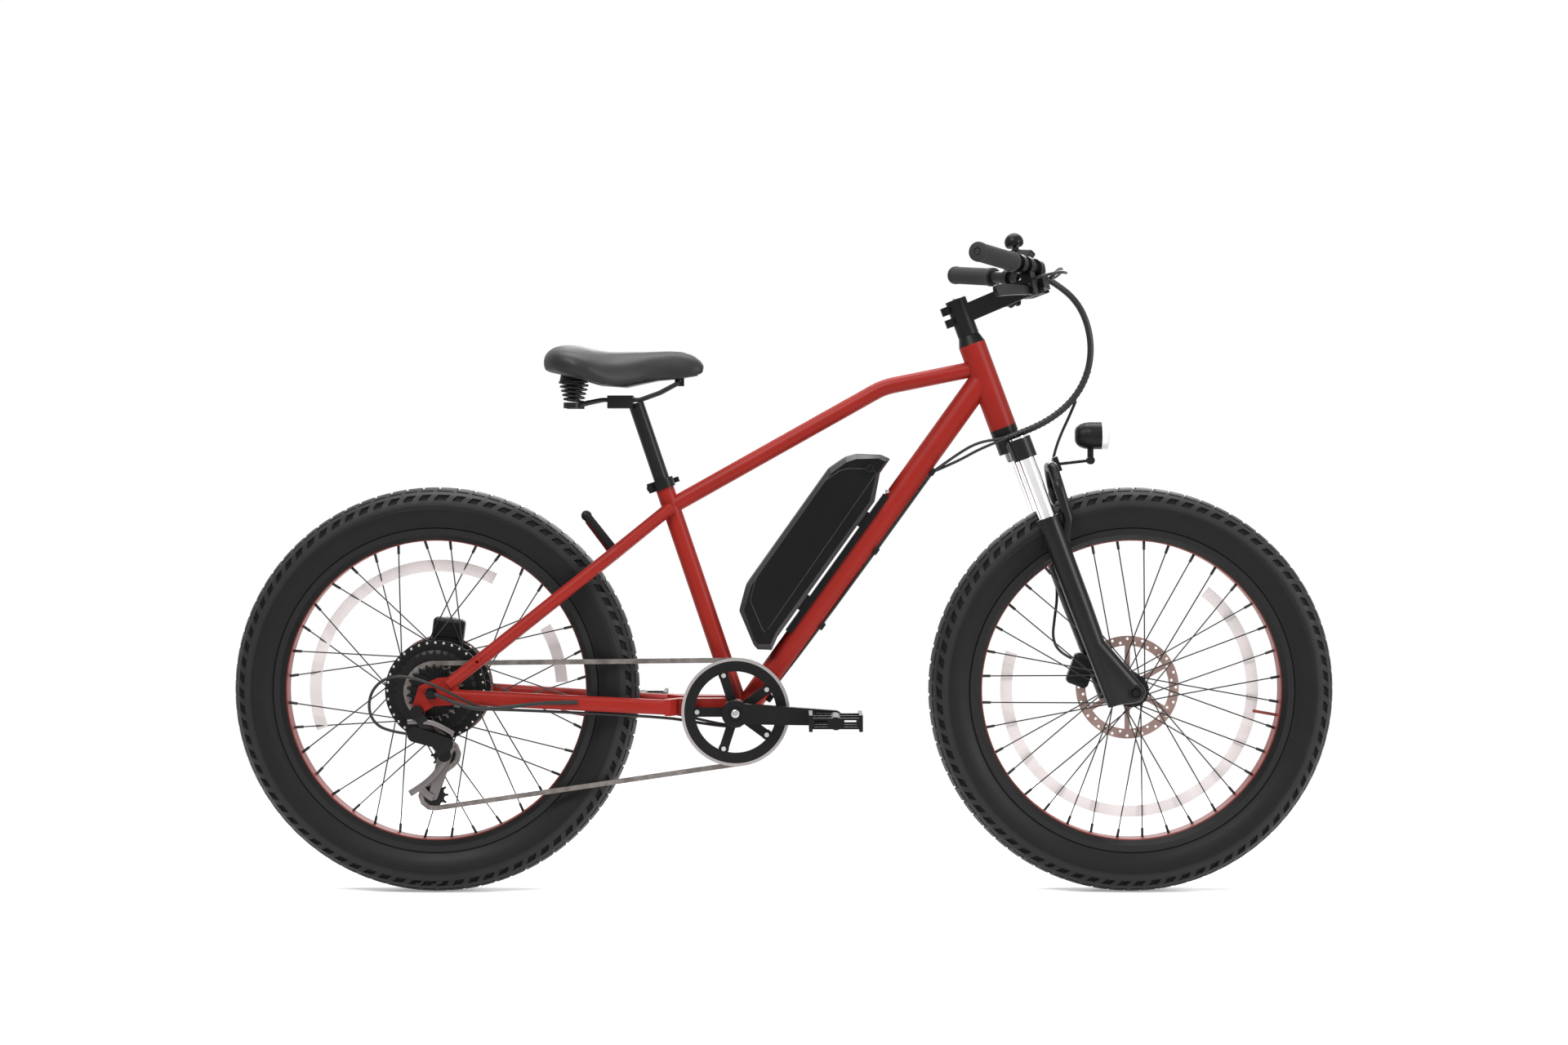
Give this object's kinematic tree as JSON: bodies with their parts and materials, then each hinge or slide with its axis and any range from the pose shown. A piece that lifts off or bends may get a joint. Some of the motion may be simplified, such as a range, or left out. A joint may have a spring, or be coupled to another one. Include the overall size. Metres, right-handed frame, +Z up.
{
  "type": "fat tyre electric bicycle",
  "caption": "Fat tyre bicycle with a sprung fork, disc brakes, chain drive, rear hub motor and a battery on the down tube.",
  "frame": {"origin": "on the ground, midway between the two axles, in the wheels' plane", "axes": "+X forward, +Y to the rider's left, +Z up; the chain is on the -Y side"},
  "size_m": [1.9, 0.6806, 1.1254],
  "materials": {
    "frame_red": "satin",
    "black_paint": "satin",
    "rim_paint": "satin",
    "spoke_black": "satin",
    "tyre_rubber": "matte",
    "black_alloy": "satin",
    "steel": "brushed",
    "drive_steel": "brushed",
    "chrome": "polished",
    "black_plastic": "matte",
    "cell_wrap": "matte",
    "grip_rubber": "matte",
    "saddle_cover": "matte",
    "cable_black": "matte",
    "lens": "clear",
    "lamp_red": "gloss"
  },
  "bodies": {
    "frame": {"front_triangle": "frame_red", "rear_triangle": "frame_red", "bearing_cups": "black_alloy", "seat_collar": "black_alloy", "battery_rail": "black_alloy", "rear_axle": "steel", "rear_brake_caliper": "black_alloy", "tail_light": "lamp_red", "derailleur_body": "black_alloy", "frame_cables": "cable_black", "chain": "drive_steel"},
    "seat": {"seatpost": "black_alloy", "saddle_rails": "steel", "saddle_springs": "steel"},
    "saddle": {"saddle_base": "black_plastic", "saddle_cushion": "saddle_cover"},
    "seat_lever": {"seat_clamp_lever": "black_alloy"},
    "battery": {"battery_case": "black_plastic", "battery_cells": "cell_wrap"},
    "lock": {"battery_lock": "steel"},
    "steering": {"fork_crown": "black_alloy", "fork_stanchions": "chrome", "stem": "black_alloy", "handlebar": "black_alloy", "grips": "grip_rubber", "control_brackets": "black_plastic", "display": "black_plastic", "steering_cables": "cable_black"},
    "lever_left": {"brake_lever_left": "black_alloy"},
    "lever_right": {"brake_lever_right": "black_alloy"},
    "thumb_lever": {"shift_lever": "black_plastic"},
    "striker": {"bell_striker": "steel"},
    "lowers": {"fork_lowers": "black_paint", "fork_seals": "black_plastic", "fork_dampers": "steel", "front_axle": "steel", "front_brake_caliper": "black_alloy", "front_brake_hose": "cable_black", "headlight_bracket": "black_paint"},
    "headlight": {"headlight_housing": "black_plastic", "headlight_lens": "lens"},
    "front_wheel": {"front_tyre": "tyre_rubber", "front_rim": "rim_paint", "front_spokes": "spoke_black", "front_hub": "black_alloy", "front_rotor": "steel"},
    "rear_wheel": {"rear_tyre": "tyre_rubber", "rear_rim": "rim_paint", "rear_spokes": "spoke_black", "rear_hub_motor": "black_alloy", "rear_rotor": "steel"},
    "sprockets": {"freewheel": "drive_steel"},
    "crank": {"crank_right": "black_alloy", "chainring": "drive_steel", "crank_left": "black_alloy"},
    "pedal_r": {"pedal_right": "black_plastic"},
    "pedal_l": {"pedal_left": "black_plastic"},
    "cage": {"derailleur_cage": "drive_steel"},
    "upper_pulley": {"jockey_upper": "black_plastic"},
    "lower_pulley": {"jockey_lower": "black_plastic"}
  },
  "joints": [
    {"name": "steering", "type": "hinge", "parent": "frame", "child": "steering", "pos_m": [0.55457, 0, 0.33302], "axis": [-0.3502, 0, 0.9367], "range_deg": [-60, 60], "deforming": ["steering_cables"]},
    {"name": "suspension", "type": "slide", "parent": "steering", "child": "lowers", "axis": [-0.3502, 0, 0.9367], "range_m": [0, 0.08], "stiffness_N_per_m": 8000, "springref_m": -0.03, "deforming": ["front_brake_hose"]},
    {"name": "front_wheel_spin", "type": "hinge", "parent": "lowers", "child": "front_wheel", "pos_m": [0.6, 0, 0.35], "axis": [0, 1, 0], "continuous": true},
    {"name": "headlight_tilt", "type": "hinge", "parent": "lowers", "child": "headlight", "pos_m": [0.53016, 0, 0.74666], "axis": [0, 1, 0], "range_deg": [-20, 20]},
    {"name": "rear_wheel_spin", "type": "hinge", "parent": "frame", "child": "rear_wheel", "pos_m": [-0.6, 0, 0.35], "axis": [0, 1, 0], "continuous": true},
    {"name": "crank_spin", "type": "hinge", "parent": "frame", "child": "crank", "pos_m": [-0.083, 0, 0.315], "axis": [0, 1, 0], "continuous": true, "deforming": ["chain"]},
    {"name": "freewheel_spin", "type": "hinge", "parent": "frame", "child": "sprockets", "pos_m": [-0.6, 0, 0.35], "axis": [0, 1, 0], "continuous": true},
    {"name": "pedal_right_spin", "type": "hinge", "parent": "crank", "child": "pedal_r", "pos_m": [0.08684, -0.145, 0.30758], "axis": [0, 1, 0], "continuous": true},
    {"name": "pedal_left_spin", "type": "hinge", "parent": "crank", "child": "pedal_l", "pos_m": [-0.25284, 0.145, 0.32242], "axis": [0, 1, 0], "continuous": true},
    {"name": "cage_swing", "type": "hinge", "parent": "frame", "child": "cage", "pos_m": [-0.581, -0.0545, 0.242], "axis": [0, 1, 0], "range_deg": [-15, 20], "stiffness_Nm_per_rad": 1.5},
    {"name": "upper_pulley_spin", "type": "hinge", "parent": "cage", "child": "upper_pulley", "pos_m": [-0.581, -0.0545, 0.242], "axis": [0, 1, 0], "continuous": true},
    {"name": "lower_pulley_spin", "type": "hinge", "parent": "cage", "child": "lower_pulley", "pos_m": [-0.60112, -0.0545, 0.17183], "axis": [0, 1, 0], "continuous": true},
    {"name": "seatpost_slide", "type": "slide", "parent": "frame", "child": "seat", "axis": [-0.3206, 0, 0.9472], "range_m": [-0.08, 0.06]},
    {"name": "seat_lever_swing", "type": "hinge", "parent": "frame", "child": "seat_lever", "pos_m": [-0.23195, 0.0223, 0.69796], "axis": [-0.3206, 0, 0.9472], "range_deg": [0, 150]},
    {"name": "saddle_bounce", "type": "hinge", "parent": "seat", "child": "saddle", "pos_m": [-0.1807, 0, 0.88131], "axis": [0, 1, 0], "range_deg": [-2.5, 0], "stiffness_Nm_per_rad": 2000, "springref_deg": 0.57, "deforming": ["saddle_springs"]},
    {"name": "battery_slide", "type": "slide", "parent": "frame", "child": "battery", "axis": [0.5825, 0, 0.8128], "range_m": [0, 0.05]},
    {"name": "battery_lock_turn", "type": "hinge", "parent": "battery", "child": "lock", "pos_m": [0.14772, -0.0443, 0.73306], "axis": [0, 1, 0], "range_deg": [0, 90]},
    {"name": "brake_lever_left_pull", "type": "hinge", "parent": "steering", "child": "lever_left", "pos_m": [0.41147, 0.18703, 1.02955], "axis": [0.8447, 0.4714, 0.2534], "range_deg": [0, 12], "stiffness_Nm_per_rad": 2, "springref_deg": -11.46},
    {"name": "brake_lever_right_pull", "type": "hinge", "parent": "steering", "child": "lever_right", "pos_m": [0.41147, -0.18703, 1.02955], "axis": [-0.8447, 0.4714, -0.2534], "range_deg": [0, 12], "stiffness_Nm_per_rad": 2, "springref_deg": -11.46},
    {"name": "shift_lever_push", "type": "hinge", "parent": "steering", "child": "thumb_lever", "pos_m": [0.42874, -0.15515, 1.0313], "axis": [0.1816, -0.193, -0.9643], "range_deg": [0, 25], "stiffness_Nm_per_rad": 0.2, "springref_deg": -11.46},
    {"name": "bell_striker_flick", "type": "hinge", "parent": "steering", "child": "striker", "pos_m": [0.38539, -0.19839, 1.09536], "axis": [-0.1816, 0.193, 0.9643], "range_deg": [-15, 15], "stiffness_Nm_per_rad": 0.05}
  ],
  "couplings": [
    {"joint": "freewheel_spin", "follows": "crank_spin", "ratio": 1.8333},
    {"joint": "upper_pulley_spin", "follows": "crank_spin", "ratio": -4},
    {"joint": "lower_pulley_spin", "follows": "crank_spin", "ratio": 4}
  ]
}
